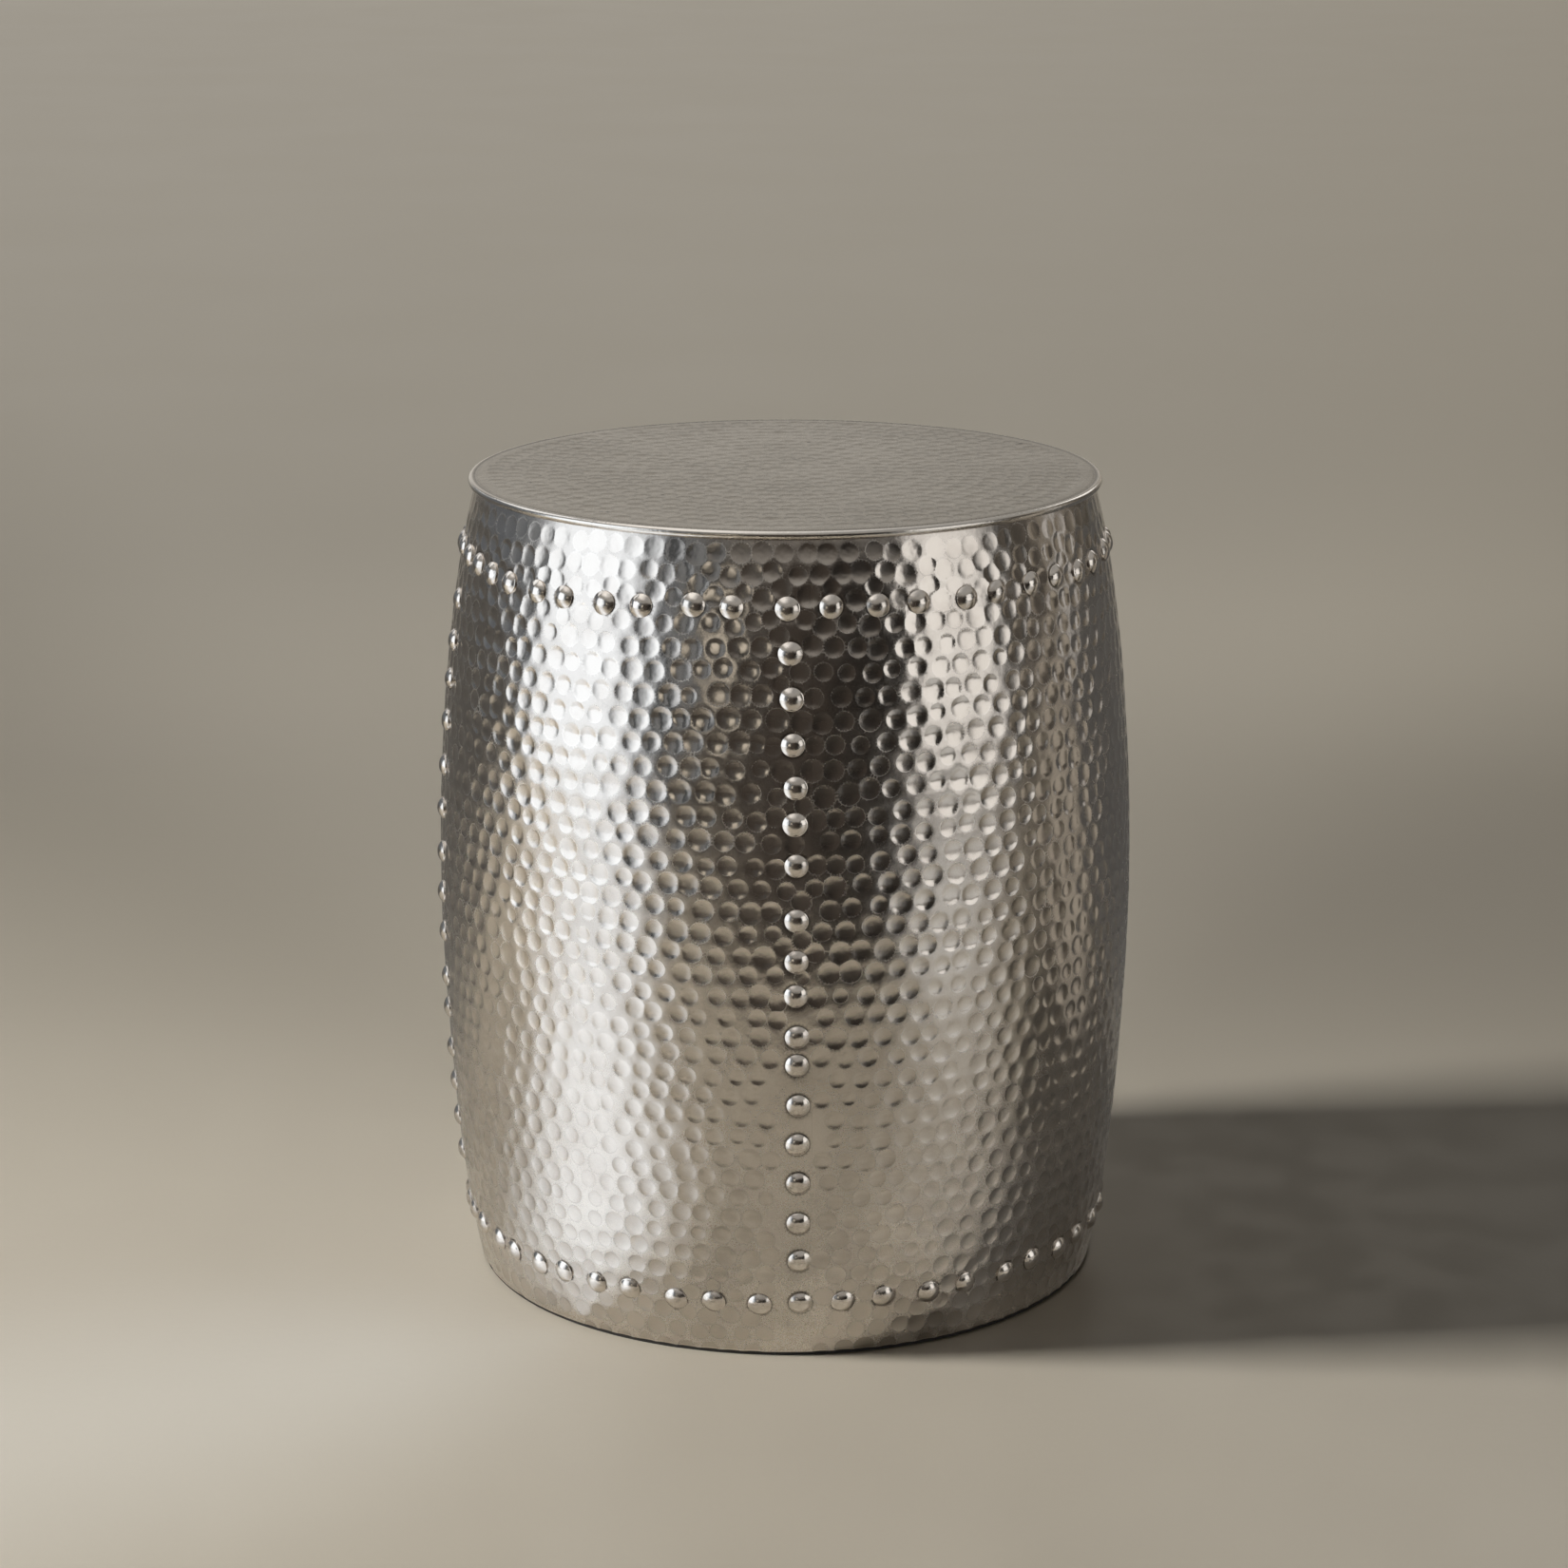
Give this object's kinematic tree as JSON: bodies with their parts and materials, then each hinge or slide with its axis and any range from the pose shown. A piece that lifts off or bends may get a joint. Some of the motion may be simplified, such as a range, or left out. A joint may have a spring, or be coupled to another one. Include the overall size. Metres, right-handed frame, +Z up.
{
  "type": "drum side table",
  "caption": "Barrel-shaped side table in hammered sheet metal: riveted staves round a hoop at each end, closed by a flat round top with a rolled rim.",
  "frame": {"origin": "on the drum's axis, at the level it stands on (centre of the foot ring's underside)", "axes": "+Z up along the drum's axis; the front, with the seam that faces the viewer, faces -Y; +X to the viewer's right"},
  "size_m": [0.3962, 0.3987, 0.457],
  "materials": {
    "hammered_sheet": "hammered and polished",
    "hammered_top": "lightly hammered, satin",
    "rivet": "polished domed heads",
    "steel": "plain mill finish",
    "foot_rubber": "matte"
  },
  "bodies": {
    "root": {"top_disc": "hammered_top", "rim_wire": "steel", "upper_hoop": "steel", "cross_brace_a": "steel", "cross_brace_b": "steel", "stave_front_left": "hammered_sheet", "stave_front_right": "hammered_sheet", "stave_back_right": "hammered_sheet", "stave_back_left": "hammered_sheet", "lower_hoop": "steel", "foot_ring": "foot_rubber", "seam_strap_front": "steel", "seam_strap_right": "steel", "seam_strap_back": "steel", "seam_strap_left": "steel", "seam_rivets_front": "rivet", "seam_rivets_right": "rivet", "seam_rivets_back": "rivet", "seam_rivets_left": "rivet", "rivet_ring_upper": "rivet", "rivet_ring_lower": "rivet"}
  },
  "joints": []
}
